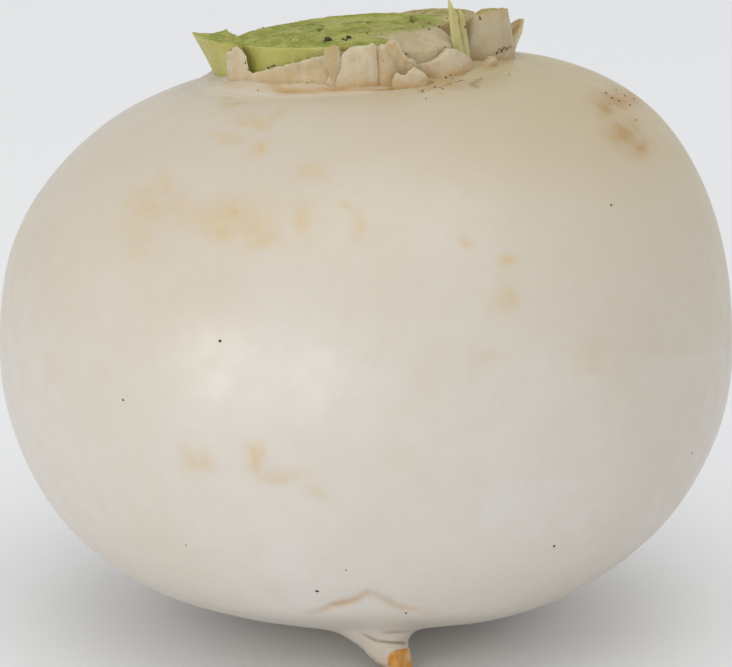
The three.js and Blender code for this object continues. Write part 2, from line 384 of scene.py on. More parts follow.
# %% From the spun shape to the grown root
UNDER_CURVE_RADIUS = 79.0
UNDERSIDE_SHARE = 0.6                                     # of that radius; above it nothing slides
TAP_FORWARD = math.radians(9)
SLIDE_FADE = (math.radians(7), math.radians(26))          # from the pole
TAP_BEND = 3.4
BEND_START = 0.6
TAP_SIDE = 1.2
SHOULDER_SHARE = 0.9
GIRTH_LOBES = ((3, 0.006, 1), (5, 0.004, -0.6))           # how many, how high, turned by


def smoothstep(value, low, high):
    """0 before low and 1 past high, eased; low may be the larger of the two."""
    share = min(1.0, max(0.0, (value - low) / (high - low)))
    return share * share * (3 - 2 * share)


def grow_uneven(point):
    """Moves a point of the spun root, in millimetres, to its grown place."""
    turn = math.atan2(point.y, point.x)
    level = point.z / TOP_HEIGHT
    waves = sum(high * math.cos(count * turn + shift) for count, high, shift in GIRTH_LOBES)
    lobes = 1 + max(0.0, 1 - level * level) * waves
    point.x *= lobes
    point.y *= lobes * DEPTH_SHARE
    shoulder = smoothstep(point.z, 0, TOP_HEIGHT * SHOULDER_SHARE)
    point.z += shoulder * (SHOULDER_RIGHT * point.x + SHOULDER_FRONT * point.y)
    slide_tap_root(point)


def slide_tap_root(point):
    """Turns the tap root forward about the middle of the underside's curve, and bends it aside."""
    centre = UNDER_CURVE_RADIUS - UNDER_DEPTH
    down = centre - point.z
    if down < UNDER_CURVE_RADIUS * UNDERSIDE_SHARE:
        return
    share = 1 - smoothstep(math.atan2(math.hypot(point.x, point.y), down), *SLIDE_FADE)
    turn = TAP_FORWARD * share
    moved = point.y * math.cos(turn) - down * math.sin(turn)
    point.z = centre - (down * math.cos(turn) + point.y * math.sin(turn))
    point.y = moved
    out = max(0.0, down - UNDER_CURVE_RADIUS + BEND_START) / TAP_LENGTH
    point.x += TAP_SIDE * share + TAP_BEND * out ** 1.3


def spin_root():
    bm = bmesh.new()
    verts = [bm.verts.new(p) for p in outline]
    edges = [bm.edges.new(pair) for pair in zip(verts, verts[1:])]
    bmesh.ops.spin(bm, geom=verts + edges, cent=(0, 0, 0), axis=(0, 0, 1),
                   angle=2 * math.pi, steps=ROUND_STEPS, use_merge=True)
    bmesh.ops.remove_doubles(bm, verts=bm.verts, dist=1e-4)
    for vert in bm.verts:
        grow_uneven(vert.co)
    return bm


root_mesh = spin_root()
print("root faces:", len(root_mesh.faces))

# %% [markdown]
# The skin isn't geometrically perfect. Slow noise swells it by a few tenths of a millimetre, a low
# collar of scarred skin holds the feet of the torn leaf bases, an arched crease lies over the tap
# root, and the stub is wrinkled. The real marks are low, so small pushes along the normals are
# enough. A displacement texture could do it too, but here each mark has a place of its own.

# %% Relief of the skin
SWELL = 0.2
COLLAR_RADIUS = 18.8
COLLAR_HEIGHT = 1.25
COLLAR_WIDTH = 3.6
COLLAR_LOW = 0.35            # of its height, on the right and at the back
FOOT_LINE_RADIUS = 20.7      # a fine line runs round the collar's foot
FOOT_LINE_DEPTH = 0.2
FOOT_LINE_WIDTH = 0.4
FOLD_REACH = 23              # fine folds round the crown end this far from its axis
FOLD_HEIGHT = 0.09
WRINKLE_DEPTH = 0.035
# Lines of the skin: width in pixels of the photograph, and points (across, down, strength) in it.
LINES = {
    "crease": (2.6, ((306, 612, 0.1), (318, 610, 0.45), (327, 607, 0.6), (337, 602, 0.85), (349, 600, 1.0),
                     (358, 598, 0.95), (366, 593, 0.7), (371, 589.5, 0.6), (378, 592, 0.5), (390, 598, 0.4),
                     (399, 603, 0.5), (410, 606, 0.3), (424, 608, 0.2), (442, 609, 0.0))),
    "fold": (1.2, ((362, 630, 0.0), (371, 635, 0.8), (379, 639, 1.0), (392, 640.5, 1.0), (407, 641, 1.0))),
    "wrinkle": (1.3, ((380, 631, 0.0), (392, 630.5, 0.7), (404, 629.5, 0.7), (416, 629, 0.0))),
    "by crown": (1.5, ((218, 107, 0.0), (228, 104, 0.35), (240, 102, 0.5), (256, 101, 0.1))),
    "notch": (1.4, ((484, 78, 0.5), (473, 82.5, 0.9), (480, 86, 0.9))),
}
LINE_DEPTHS = {"crease": 0.22, "fold": 0.25, "wrinkle": 2 * WRINKLE_DEPTH}
NEAR_CROWN = 20               # heights in the turnip's frame
NEAR_TAP = -25
STUB_TOP = -39.5
CROWN_REACH = 30
LINE_REACH = 3                # widths past which a line no longer shows
line_boxes = {}
for name, (width, points) in LINES.items():
    edge = LINE_REACH * width
    line_boxes[name] = (min(p[0] for p in points) - edge, max(p[0] for p in points) + edge,
                        min(p[1] for p in points) - edge, max(p[1] for p in points) + edge)


def line_share(pixel, name, wider=1.0):
    """How strong a line of the skin is at a pixel of the photograph."""
    left, right, top, bottom = line_boxes[name]
    if not (left < pixel.x < right and top < pixel.y < bottom):
        return 0.0
    width, points = LINES[name]
    best = 0.0
    for (x0, y0, s0), (x1, y1, s1) in zip(points, points[1:]):
        start = Vector((x0, y0))
        along = Vector((x1, y1)) - start
        share = min(1.0, max(0.0, (pixel - start).dot(along) / along.length_squared))
        away = (pixel - start - along * share).length / (width * wider)
        best = max(best, (s0 + (s1 - s0) * share) * math.exp(-away * away))
    return best


def crown_distance(point):
    """How far a point of the turnip's frame is from the crown's own axis, and its place there."""
    local = crown_frame.inverted() @ point
    return math.hypot(local.x, local.y), local


def collar_size(local):
    """Height and width of the collar: high from the left round to the front; 0 degrees is right."""
    turn = math.degrees(math.atan2(local.y, local.x))
    front = 1 - smoothstep(turn, -92, -78)
    if turn > 0:
        front = COLLAR_LOW + (1 - COLLAR_LOW) * smoothstep(turn, 120, 180)
    elif turn > -78:
        front = COLLAR_LOW * smoothstep(turn, -78, -30)
    ragged = 1 + 0.3 * noise.noise(Vector((local.x * 0.45, local.y * 0.45, 3)))
    gentle = max(smoothstep(turn, -118, -150) if turn < 0 else 1, smoothstep(turn, -60, -30))
    return COLLAR_HEIGHT * front * ragged, COLLAR_WIDTH * (1 + 0.35 * gentle)


def foot_line(local):
    """The line under the scales shows from the left front to the right front only."""
    turn = math.degrees(math.atan2(local.y, local.x))
    return smoothstep(turn, -128, -118) * smoothstep(turn, -52, -66)


def crown_relief(point):
    """The collar, the line round its foot and the fine folds that run out from the crown."""
    away, local = crown_distance(point)
    height, width = collar_size(local)
    out = height * smoothstep(away, COLLAR_RADIUS + width, COLLAR_RADIUS)
    lumps = 0.6 + 0.8 * noise.noise(Vector((local.x * 0.3, local.y * 0.3, 1)))
    line = math.exp(-((away - FOOT_LINE_RADIUS) / FOOT_LINE_WIDTH) ** 2)
    out -= foot_line(local) * FOOT_LINE_DEPTH * lumps * line
    if away < FOLD_REACH:
        out += FOLD_HEIGHT * noise.noise(Vector((away * 3.5, math.atan2(local.y, local.x) * 6, 2)))
    return out


def tap_relief(point):
    """The rings and lumps of the stub."""
    rings = math.sin(point.z * 7 + 2.5 * noise.noise(point * 0.5))
    out = WRINKLE_DEPTH * rings * smoothstep(-point.z, 39.5, 40.5)
    return out + 0.2 * noise.noise(point * 0.6) * smoothstep(-point.z, 39.5, 41)


def relief(point, pixel):
    """How far the skin stands out at a point, in millimetres."""
    out = SWELL * noise.noise(point * 0.055 + Vector((4, 1, 2)))
    out += 0.35 * SWELL * noise.noise(point * 0.16)
    if point.z > NEAR_CROWN and crown_distance(point)[0] < CROWN_REACH:
        out += crown_relief(point)
    if point.y < 0 and point.z < NEAR_TAP:
        for name, depth in LINE_DEPTHS.items():
            out -= depth * line_share(pixel, name)
    if point.z < STUB_TOP:
        out += tap_relief(point)
    return out


root_mesh.normal_update()
moves = []
for vert in root_mesh.verts:
    pixel = photo_pixel(on_table @ vert.co)
    moves.append(vert.normal * relief(vert.co, pixel))
for vert, move in zip(root_mesh.verts, moves):
    vert.co += move
print("largest push:", round(max(m.length for m in moves), 2), "mm")

# %% [markdown]
# The knife left two slanting faces at the end of the tap root, under a lip of skin. The stub's mesh is
# fine enough to carry them, so the points in front of each cutting plane are pressed back onto it.
# A bisect would need the whole stub cut through, which isn't what the knife did.

# %% Cuts at the tap root's end
CUT_RIDGE_TOP = Vector((4.1, -15.45, -41.2))
CUT_PLANES = {
    "left face": Vector((0.335, -0.848, -0.406)),
    "right face": Vector((0.762, -0.635, -0.127)),
}
LIP_HEIGHT = -40.75
LIP_STEP = 0.28
STUB_END_SHARE = 0.999
PRESSED = 0.03                # points pressed back by more than this belong to the cut
CUT_MATERIAL = 1              # place in the root's list of materials, after the skin


def press_flat(bm, outward):
    """Presses the stub's points that lie in front of a plane back onto it; returns those moved."""
    outward = outward.normalized()
    moved = set()
    for vert in bm.verts:
        front = (vert.co - CUT_RIDGE_TOP).dot(outward)
        if front > 0 and vert.co.z < LIP_HEIGHT:
            vert.co -= outward * front * smoothstep(LIP_HEIGHT - vert.co.z, 0, LIP_STEP)
            if front > PRESSED:
                moved.add(vert)
    return moved


cut_points = set()
for name, outward in CUT_PLANES.items():
    points = press_flat(root_mesh, outward)
    cut_points |= points
    print(name, "points pressed flat:", len(points))
stub_end = min(v.co.z for v in root_mesh.verts)
for face in root_mesh.faces:
    at_end = max(v.co.z for v in face.verts) < stub_end * STUB_END_SHARE
    if at_end or all(v in cut_points for v in face.verts):
        face.material_index = CUT_MATERIAL
print("cut faces:", sum(f.material_index == CUT_MATERIAL for f in root_mesh.faces))

# %% [markdown]
# Colour marks that belong to one place are kept as attributes on the points of the mesh: soft
# yellow-tan blotches, the greenish shoulder, a tan tone that also paints shade on the top and the
# right side, the orange line under the crown, partly painted shade, and thin dark lines of painted
# shade in the fold and wrinkle over the tap root. Each mark is named with the pixel where the
# photograph shows it; marks on the unseen side come from a seeded draw. The material later breaks
# these soft shapes up with noise.

# %% Marks of the skin
# Each mark: pixel across, pixel down, reach across, reach down, strength.
BLOTCHES = {
    "smear left": (164, 206, 30, 16, 0.8),
    "smear tip": (168, 180, 8, 14, 0.5),
    "smear tail": (140, 235, 16, 26, 0.45),
    "smear middle": (232, 218, 36, 22, 0.9),
    "smear right": (266, 238, 20, 14, 0.6),
    "streak low": (246, 123, 9, 3, 0.7),
    "streak up": (266, 118, 14, 4, 0.75),
    "streak end": (283, 114, 8, 3, 0.6),
    "streak under": (236, 137, 20, 3, 0.65),
    "spot up": (257, 149, 7, 9, 1.0),
    "spot up right": (316, 171, 15, 7, 0.6),
    "patch right": (309, 221, 13, 18, 0.95),
    "patch far up": (347, 208, 5, 7, 0.7),
    "patch far right": (356, 226, 8, 13, 0.75),
    "dot one": (473, 244, 5, 5, 2.6),
    "dot two": (514, 263, 5, 5, 1.2),
    "patch low right": (510, 297, 12, 16, 0.6),
    "faint one": (490, 356, 18, 9, 0.25),
    "faint two": (416, 375, 10, 8, 0.22),
    "faint three": (588, 360, 16, 12, 0.25),
    "soft low": (198, 455, 15, 14, 0.85),
    "strong low": (257, 456, 8, 11, 0.95),
    "tail low": (290, 474, 30, 9, 0.5),
    "tail end": (316, 486, 10, 6, 0.4),
    "faint left": (52, 372, 10, 16, 0.25),
}
SCARS = {
    "shoulder scar": (621, 99, 22, 10, 1.0),
    "scar edge": (607, 106, 8, 9, 1.0),
    "scar rim": (636, 92, 12, 7, 0.6),
    "shoulder patch": (626, 132, 16, 15, 0.8),
    "patch end": (643, 147, 11, 10, 0.8),
    "orange scar": (276, 84, 7, 6, 0.7),
    "right notch": (478, 82, 7, 3, 0.5),
    "speckled edge": (446, 84, 22, 5, 0.5),
}
BLOTCH_WARP = 12              # pixels by which noise pulls the edges about
SCAR_WARP = 6
HIDDEN_BLOTCHES = 26
HIDDEN_GIRTH = (48, 47)
HIDDEN_HEIGHT = 30
MARKS_SEED = 11


def mark_share(pixel, mark):
    across, down, reach_across, reach_down, strength = mark
    away = ((pixel.x - across) / reach_across) ** 2 + ((pixel.y - down) / reach_down) ** 2
    return strength * math.exp(-away)


draw = random.Random(MARKS_SEED)
hidden = []
for _ in range(HIDDEN_BLOTCHES):
    turn = draw.uniform(math.radians(15), math.radians(165))
    height = draw.uniform(-HIDDEN_HEIGHT, HIDDEN_HEIGHT)
    place = Vector((math.cos(turn) * HIDDEN_GIRTH[0], math.sin(turn) * HIDDEN_GIRTH[1], height))
    hidden.append((place, draw.uniform(1.5, 5.5), draw.uniform(0.2, 0.8)))


def warped(point, pixel, scale, shift, reach):
    """A pixel pulled about by noise, so that the marks' edges aren't smooth."""
    aside = Vector((noise.noise(point * scale), noise.noise(point * scale + Vector((shift, shift, shift)))))
    return pixel + aside * reach


def blotch_at(point, pixel, facing):
    if facing > 0:
        pixel = warped(point, pixel, 0.25, 9, BLOTCH_WARP)
        return max(mark_share(pixel, mark) for mark in BLOTCHES.values()) * smoothstep(facing, 0, 0.15)
    return max(s * math.exp(-((point - place).length / reach) ** 2) for place, reach, s in hidden)


def groove_tan_and_shade_at(point, away, local):
    """The orange lines that run round under the scales; their tan is partly painted shade under the scales'
    feet.
    """
    if point.z < NEAR_CROWN or away > FOLD_REACH + 1:
        return 0.0
    band = math.exp(-((away - FOOT_LINE_RADIUS) / 0.5) ** 2)
    upper = math.exp(-((away - FOOT_LINE_RADIUS + 1.1) / 0.3) ** 2)
    return max(band, 0.7 * upper) * (0.2 + 0.9 * foot_line(local))


def marks_at(point, facing):
    """Every mark's strength at a point of the root whose normal faces the camera by so much."""
    pixel = photo_pixel(on_table @ point)
    away, local = crown_distance(point)
    right = math.cos(math.atan2(local.y, local.x) - math.radians(20))
    near_crown = math.exp(-max(0.0, away - FOOT_LINE_RADIUS) / (12 + 7 * max(0.0, right)))
    # The warm tone grows towards the top and the right side, where it is partly painted shade; on the stub
    # it is the stub's own warmer colour.
    right_shoulder_tan_and_shade = smoothstep(point.x, -4, 40) * smoothstep(point.z, 15, 37)
    warm = 0.6 * smoothstep(point.z, -20, 38) + 0.6 * right_shoulder_tan_and_shade
    warm += 0.15 * smoothstep(point.x, 20, 48) + 0.35 * smoothstep(-point.z, 37, 41)
    marks = {
        "blotch": blotch_at(point, pixel, facing),
        "green": near_crown * (0.55 + 0.45 * right) if point.z > 0 else 0.0,
        "warm": warm,
        "groove": groove_tan_and_shade_at(point, away, local),
        "tip": smoothstep(-point.z, 42.2, 43.9),
    }
    if facing > 0:
        pulled = warped(point, pixel, 0.4, 5, SCAR_WARP)
        marks["scar"] = max(mark_share(pulled, mark) for mark in SCARS.values())
        # The crease over the tap root and the line by the crown take the same tan as the line under the
        # scales, whose tan is partly painted shade.
        crease = max(line_share(pixel, "crease", 1.3), line_share(pixel, "by crown"))
        marks["groove"] = max(marks["groove"], crease)
        # Thin darker lines: painted shade in the fold and wrinkle over the tap root's cut, and the dark
        # notch mark by the crown.
        marks["line"] = max(line_share(pixel, name) for name in ("fold", "wrinkle", "notch"))
    return marks


def paint_root(bm):
    names = ("blotch", "green", "warm", "groove", "tip", "scar", "line")
    layers = {name: bm.verts.layers.float.new(name) for name in names}
    bm.normal_update()
    for vert in bm.verts:
        facing = (on_table.to_3x3() @ vert.normal).normalized().dot(to_camera)
        for name, strength in marks_at(vert.co, facing).items():
            vert[layers[name]] = strength


paint_root(root_mesh)
root_mesh.transform(on_table)
low = Vector([min(v.co[i] for v in root_mesh.verts) for i in range(3)])
high = Vector([max(v.co[i] for v in root_mesh.verts) for i in range(3)])
to_solid = (root_low + root_high) / 2 - (low + high) / 2
to_solid.z = 0
bmesh.ops.translate(root_mesh, verts=root_mesh.verts, vec=to_solid)
everything = root_mesh.verts[:] + root_mesh.edges[:] + root_mesh.faces[:]
flat_cut = bmesh.ops.bisect_plane(root_mesh, geom=everything, dist=1e-8, plane_co=(0, 0, 0),
                                  plane_no=(0, 0, -1), clear_outer=True)["geom_cut"]
rims = [part for part in flat_cut if isinstance(part, bmesh.types.BMEdge)]
flat_spots = bmesh.ops.holes_fill(root_mesh, edges=rims, sides=0)["faces"]
print("flat spots it stands on:", [round(f.calc_area() / MM ** 2, 1) for f in flat_spots], "mm2")
print("moved by", [round(c / MM, 3) for c in to_solid], "mm onto the solid")

# %% [markdown]
# Turnip skin is a thin waxy layer over wet white flesh, so light goes a little way in before it
# comes back. A small subsurface weight gives that, with a soft gloss on top. The tone is cream-white,
# warmer and darker towards the crown and on the right, there partly painted shade, with the painted
# marks broken up by noise, and a fine orange peel bump.

# %% Skin and cut flesh
# Each mark: its share of the tone, its colour, and the levels of the mottle that break it up.
SKIN_MARKS = {
    # warm: tan colour, and painted shade that darkens the top and the right side
    "warm": (0.8, (209, 189, 152), None),
    "green": (0.7, (190, 170, 108), None),
    "blotch": (0.8, (214, 182, 122), (0.3, 0.58, 0.3, 1.0)),
    # the line under the scales: tan colour and partly painted shade under the scales' feet; the crease takes
    # the same tan
    "groove": (0.9, (190, 148, 84), (0.3, 0.6, 0.35, 1.0)),
    "scar": (1.0, (187, 147, 84), (0.3, 0.5, 0.65, 1.1)),
    "tip": (1.0, (186, 136, 74), (0.3, 0.55, 0.4, 1.0)),
    # line: painted shade in the fold and wrinkle, and the dark notch mark
    "line": (0.75, (138, 108, 76), None),
}


def skin_finish():
    skin = Finish("turnip_skin", 0.34, subsurface=0.18, reach=0.0022)
    broad = skin.noise(45, 4, 0.55)
    mottle = skin.noise(260, 5, 0.6)
    fine = skin.noise(1400, 3, 0.6)
    tone = skin.mix(skin.levels(broad, 0.35, 0.7), rgb(224, 218, 210), rgb(219, 210, 196))
    tone = skin.mix(skin.levels(mottle, 0.45, 0.75, 0, 0.3), tone, rgb(214, 201, 182))
    for name, (share, colour, levels) in SKIN_MARKS.items():
        strength = skin.attribute(name, share)
        if levels:
            strength = skin.math("MULTIPLY", strength, skin.levels(mottle, *levels))
        tone = skin.mix(strength, tone, rgb(*colour))
    peel = skin.bump(fine, 0.00005, 0.5)
    skin.set(Base_Color=tone, Roughness=skin.levels(mottle, 0.3, 0.7, 0.3, 0.42),
             Normal=skin.bump(mottle, 0.00012, 0.5, peel))
    return skin.material


def cut_finish():
    cut = Finish("cut_tap_root", 0.6, subsurface=0.05, reach=0.0008)
    streaks = cut.noise(900, 4, 0.6, cut.place((1, 1, 0.25)))
    patches = cut.noise(500, 3, 0.5)
    tone = cut.mix(cut.levels(streaks, 0.35, 0.65), rgb(214, 128, 38), rgb(240, 182, 98))
    tone = cut.mix(cut.levels(patches, 0.55, 0.7, 0, 0.7), tone, rgb(242, 208, 156))
    cut.set(Base_Color=tone, Normal=cut.bump(streaks, 0.0002, 0.8))
    return cut.material


skin_material = skin_finish()
cut_material = cut_finish()
root_piece = finish_piece(root_mesh, "root_skin", "root", [skin_material, cut_material])
print("root piece:", len(root_piece.data.polygons), "faces")

# %% [markdown]
# The crown is what a knife left of the leaves: thick green and pale stalks, and around their foot the
# cream scales of older leaves that were torn away. Each of them is a crescent in plan that clasps
# the ones inside it. A cube cut into a fine lattice is bent into that crescent by one formula, so
# the same few numbers say where a leaf base stands, how wide it is and how its top was cut or torn.

# %% A lattice bent into a leaf base
ROOTED = 1.6               # a leaf base starts this far below the skin, mm
KNIFE_HEIGHT = 6.1
KNIFE_RIGHT = 0.03
KNIFE_BACK = -0.045
LOWEST_EDGE = 0.5
END_DROP = 0.06            # of its height, by which a cut top falls off to its two ends
SMOOTH_ROUNDS = 2
PLAIN_LEAF_BASE = {
    "thin": 0.6, "over": 0, "slant": 0, "jag": 0, "seed": 1, "dish": 0, "lean": 0, "curl": 1.2,
    "sweep": 0, "narrow": 1, "tall": None, "bend": None, "edge": None, "tip": 1, "ribs": 0.1,
    "hollow": 0, "crumple": 0, "spacing": 0.3, "tone": 0, "green": 0, "foot": 1, "twist": 0,
    "rounded": 0, "dry": 0, "brown": 0,
}


def lattice(steps):
    """A cube from -1 to 1 cut into so many steps along X, Y and Z."""
    bm = bmesh.new()
    bmesh.ops.create_cube(bm, size=2)
    for axis, count in enumerate(steps):
        along = [e for e in bm.edges if abs(e.verts[0].co[axis] - e.verts[1].co[axis]) > 1e-3]
        bmesh.ops.subdivide_edges(bm, edges=along, cuts=count - 1, use_grid_fill=True)
    return bm


def torn(across, seed):
    return 0.5 * math.sin(7 * across + seed) + 0.3 * math.sin(15 * across + 2.3 * seed)


def edge_height(shape, across):
    """Height of the top edge of a leaf base, at -1 to 1 from its left to its right end."""
    if shape["edge"]:
        points = shape["edge"]
        for (start, low), (end, high) in zip(points, points[1:]):
            if across <= end:
                share = (across - start) / (end - start)
                along = across * shape["width"] / 2
                ragged = noise.noise(Vector((along * 1.8, shape["seed"] * 5.0, 0)))
                ragged += 0.7 * noise.noise(Vector((along * 5.5, shape["seed"] * 5.0, 3)))
                return low + (high - low) * share + 0.35 * shape["jag"] * ragged
        return points[-1][1]
    rim = shape["tall"] + shape["slant"] * across + shape["jag"] * torn(across, shape["seed"])
    return rim * (1 - END_DROP * abs(across) ** 3)


def leaf_point(shape, across, depth, rise, grow=0.0):
    """Carries a lattice point, -1 to 1 each way, to the crown's frame in millimetres."""
    fine = grow == 0
    top = edge_height(shape, across) - shape["dish"] * (1 - depth * depth)
    top -= shape["rounded"] * max(0.0, (depth + 0.4) / 1.4) ** 2
    up = -ROOTED + (rise + 1) / 2 * (max(top, LOWEST_EDGE) + grow + ROOTED)
    lift = max(0.0, up) / shape["tall"]
    high = min(1.0, lift)
    half_width = shape["width"] / 2 * (1 + (shape["narrow"] - 1) * high)
    half_width *= shape["foot"] + (1 - shape["foot"]) * smoothstep(lift, 0.15, 0.6)
    half_width += grow
    round_end = math.sqrt(max(0, 1 - across ** 2))
    half_thick = shape["thick"] / 2 * (shape["thin"] + (1 - shape["thin"]) * round_end)
    half_thick *= 1 + (shape["tip"] - 1) * high
    side_mm = across * half_width
    if fine:
        rib = noise.noise(Vector((side_mm * 0.9, shape["seed"] * 7.3, up * 0.06)))
        half_thick += shape["ribs"] * rib * (0.4 + 0.6 * high)
        hollow = max(0.0, depth) * shape["hollow"] * math.sin(math.pi * high)
        half_thick -= hollow * (1 - across ** 4)
    turn = side_mm / shape["bend"]
    radius = shape["bend"] + depth * (half_thick + grow)
    outward = radius * math.cos(turn) - shape["bend"] + shape["out"]
    outward += shape["lean"] * lift ** shape["curl"]
    if fine and shape["crumple"]:
        wave = noise.noise(Vector((side_mm * 0.45, up * 0.35, shape["seed"] * 3.1)))
        wave += 0.5 * noise.noise(Vector((side_mm * 1.5, up * 0.9, shape["seed"] * 3.1)))
        outward += shape["crumple"] * wave * high
    side = radius * math.sin(turn) + shape["sweep"] * lift
    if shape["twist"]:
        twist = math.radians(shape["twist"])
        inward = outward - shape["out"]
        outward = shape["out"] + inward * math.cos(twist) + side * math.sin(twist)
        side = side * math.cos(twist) - inward * math.sin(twist)
    at = math.radians(shape["at"])
    point = Vector((outward * math.cos(at) + side * math.sin(at),
                    outward * math.sin(at) - side * math.cos(at), up))
    if fine and rise > 0.99 and shape["dish"]:
        point.z += 0.13 * noise.noise(Vector((point.x * 0.9, point.y * 0.9, 4)))
        point.z += 0.07 * noise.noise(Vector((point.x * 2.6, point.y * 2.6, 9)))
    return point


def complete(numbers):
    """A leaf base's numbers, with those that it doesn't give filled in."""
    shape = {**PLAIN_LEAF_BASE, **numbers}
    at = math.radians(shape["at"])
    if shape["bend"] is None:
        shape["bend"] = shape["out"]
    if shape["tall"] is None:
        right = math.cos(at) * shape["out"]
        back = math.sin(at) * shape["out"]
        shape["tall"] = KNIFE_HEIGHT + KNIFE_RIGHT * right + KNIFE_BACK * back + shape["over"]
    return shape


def leaf_base(shape, spacing, grow=0.0):
    """A leaf base in the crown's frame; grown ones are only used to cut their neighbours."""
    sizes = (shape["width"], shape["thick"], shape["tall"] + ROOTED)
    bm = lattice([max(3, round(size / spacing)) for size in sizes])
    for vert in bm.verts:
        vert.co = leaf_point(shape, *vert.co, grow)
    if grow == 0:
        every_way = dict(use_axis_x=True, use_axis_y=True, use_axis_z=True)
        for _ in range(SMOOTH_ROUNDS):
            bmesh.ops.smooth_vert(bm, verts=bm.verts, factor=0.4, **every_way)
    bmesh.ops.recalc_face_normals(bm, faces=bm.faces)
    return bm


print("the knife cut the middle of the crown", KNIFE_HEIGHT, "mm above the root")

# %% [markdown]
# These tables list the crown's pieces with the solid's own numbers. Each row begins with direction in
# degrees (0 right, -90 front), distance from the middle, width and thickness in millimetres. An edge
# is the torn or cut top as it looks in the photograph, from one end of the piece to the other, and
# bend is the radius that it clasps. Lean tips a piece outwards and curl says how late, narrow and tip
# draw its top in across and in depth, thin its two ends; dish hollows a cut top, jag tears an edge,
# ribs and crumple roughen the sides, and twist turns it. Tone, dry, green and brown only colour it.

# %% The crown's pieces
def base(at, out, width, thick, **more):
    """One row of the tables."""
    return dict(at=at, out=out, width=width, thick=thick, **more)


YOUNG_LEAVES = {
    "young_leaf_long": base(-39, 17.6, 2.6, 0.8, tall=10.2, bend=3, narrow=0.36, sweep=1.3, spacing=0.16,
        tip=0.5, tone=0.35, edge=((-1, 7.6), (-0.2, 8.9), (0.6, 9.9), (1, 10.2))),
    "young_leaf_short": base(-31, 17.0, 1.9, 0.7, tall=8.6, bend=3, narrow=0.4, sweep=0.8, spacing=0.16,
        tip=0.5, tone=0.3, edge=((-1, 6.8), (0.3, 8.0), (1, 8.6))),
}
SCALES = {
    "scale_curled": base(-70, 20.9, 6.0, 1.3, tall=2.8, bend=6, seed=4, lean=0.6, jag=0.8, tone=1.1,
        brown=0, edge=((-1, 0.3), (-0.6, 0.8), (-0.32, 1.9), (0, 2.5), (0.2, 2.05), (0.42, 1.4),
        (0.6, 1.6), (0.8, 2.1), (1, 0.9))),
    "scale_left": base(-148.5, 19.6, 5.8, 1.2, tall=5.6, bend=5, lean=0.35, foot=0.8, jag=1.1, tone=0.9,
        crumple=0.7, edge=((-1, 2.9), (-0.9, 4.5), (-0.78, 4.4), (-0.7, 5.3), (-0.55, 5.9), (-0.3, 5.5),
        (0, 5.0), (0.4, 4.6), (0.7, 3.6), (1, 2.2))),
    "scale_white": base(-93, 20.1, 7.2, 1.1, tall=5.5, bend=9, seed=2, tone=1.2, jag=0.9, crumple=0.4,
        edge=((-1, 5.6), (-0.93, 5.95), (-0.5, 5.75), (-0.2, 5.8), (0, 5.6), (0.22, 5.1), (0.35, 4.3),
        (0.5, 3.5), (0.75, 2.4), (1, 0.9))),
    "scale_long": base(-119, 19.3, 16.0, 1.1, tall=2.9, tone=0.3, seed=7, jag=0.6, crumple=0.3,
        edge=((-1, 5.1), (-0.5, 4.5), (0, 3.6), (0.5, 2.7), (0.78, 2.2), (0.9, 2.5), (1, 2.3))),
    "scale_tan": base(-79, 19.2, 4.6, 1.4, tall=6.0, bend=7, seed=5, tone=0.35, jag=0.7, edge=((-1, 1.8),
        (-0.8, 3.4), (-0.6, 4.9), (-0.3, 5.6), (0.3, 5.5), (1, 5.3))),
    "scale_peach": base(-71, 18.8, 5.6, 1.2, tall=5.6, bend=5, seed=3, lean=1.4, tone=0.2, jag=0.8,
        crumple=0.8, edge=((-1, 0.5), (-0.56, 1.2), (-0.5, 2.5), (-0.4, 3.0), (0, 3.75), (0.22, 4.4),
        (0.42, 5.9), (0.7, 6.3), (1, 6.0))),
    "scale_domed": base(-50, 19.2, 11.0, 2.4, tall=4.3, bend=7, thin=0.4, narrow=0.95, tone=1.1, jag=0.4,
        tip=0.35, edge=((-1, 0.5), (-0.8, 1.3), (-0.5, 2.5), (-0.28, 3.3), (-0.08, 3.8), (0.1, 3.85),
        (0.25, 3.4), (0.45, 2.8), (0.7, 2.5), (1, 2.3))),
    "scale_small": base(-26, 19.7, 4.8, 1.8, tall=1.5, bend=5, narrow=0.75, tip=0.5, jag=0.4, crumple=0.9,
        brown=0.2, edge=((-1, 0.4), (-0.6, 1.1), (-0.2, 1.6), (0.1, 1.2), (0.5, 1.5), (1, 0.4))),
    "scale_back_right": base(34, 19.9, 9.0, 1.3, tall=4.2, bend=14, jag=0.8, edge=((-1, 2.2), (-0.7, 3.2),
        (-0.45, 3.0), (-0.1, 4.0), (0.3, 4.3), (0.5, 3.8), (0.8, 4.6), (1, 3.6))),
    "scale_back": base(78, 20.1, 8.0, 1.3, tall=3.0, bend=10, jag=0.8, seed=3, lean=0.6, tone=0.5,
        edge=((-1, 1.6), (-0.6, 2.6), (-0.2, 3.3), (0.1, 2.9), (0.4, 3.2), (0.8, 2.1), (1, 1.2))),
    "scale_back_left": base(121, 19.9, 11.0, 1.3, tall=3.8, bend=16, jag=0.8, seed=8, tone=0.3,
        edge=((-1, 4.4), (-0.7, 4.8), (-0.4, 4.1), (0, 3.9), (0.4, 3.0), (0.7, 2.9), (1, 1.8))),
    "scale_far_left": base(163, 20.0, 6.0, 1.3, tall=3.0, bend=8, jag=0.8, seed=6, tone=-0.2,
        edge=((-1, 1.5), (-0.5, 2.8), (0, 3.3), (0.3, 2.7), (0.7, 2.8), (1, 1.4))),
}
